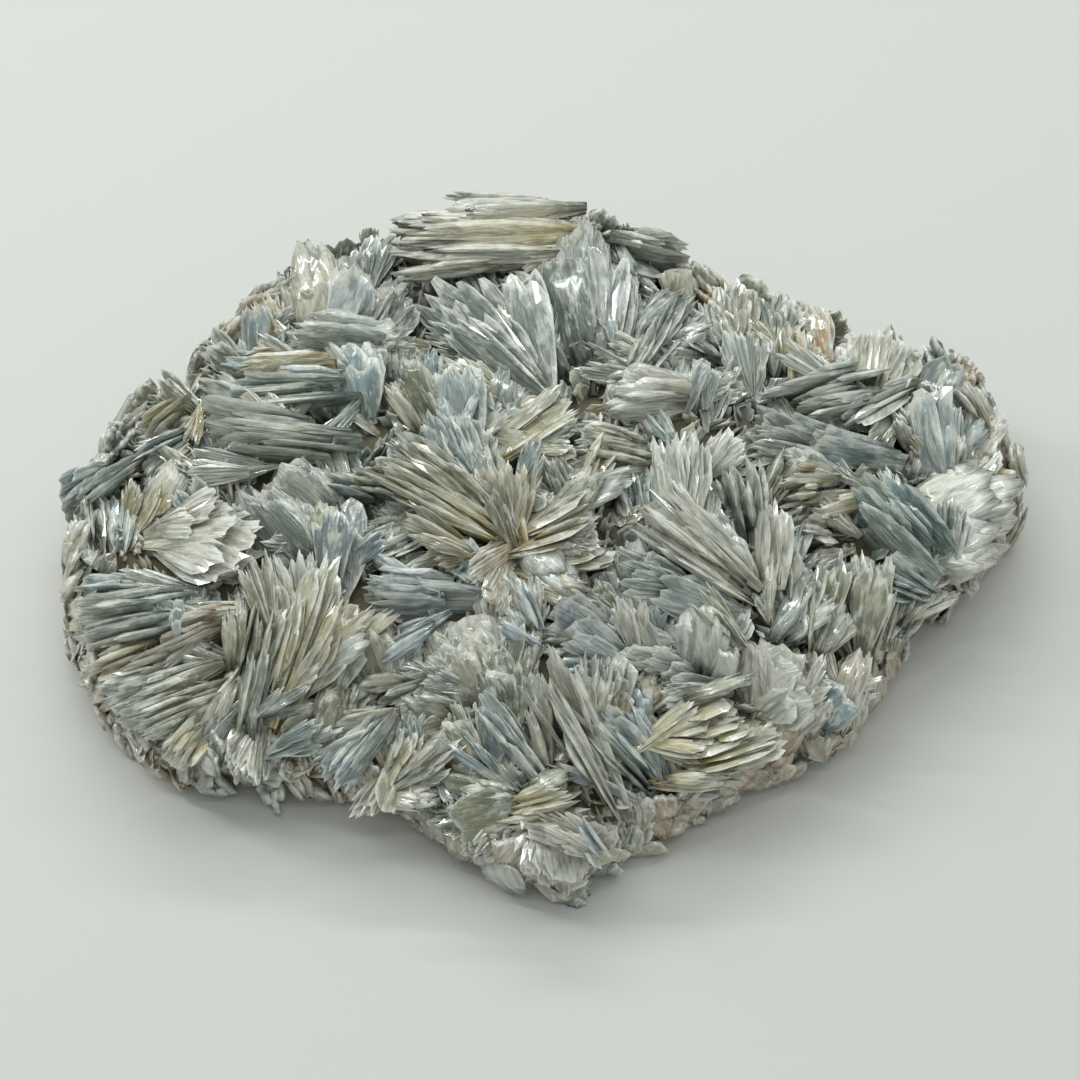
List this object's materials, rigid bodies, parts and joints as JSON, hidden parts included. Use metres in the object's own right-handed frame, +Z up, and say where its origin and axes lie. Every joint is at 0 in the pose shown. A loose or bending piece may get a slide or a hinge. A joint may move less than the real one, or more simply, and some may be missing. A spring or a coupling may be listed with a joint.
{
  "type": "barite specimen",
  "caption": "Natural cluster of thin blue-grey bladed crystals in fans and crests on a crust with a flat underside.",
  "frame": {"origin": "under the middle of the cluster, on the surface that it rests on", "axes": "+X along the cluster's length, to the right as it is displayed, +Y to its back, +Z up"},
  "size_m": [0.131, 0.1032, 0.0299],
  "materials": {
    "barite": "translucent blue-grey crystal, glassy to frosted, cream at the blades' edges and roots"
  },
  "bodies": {
    "root": {"barite_cluster": "barite"}
  },
  "joints": []
}
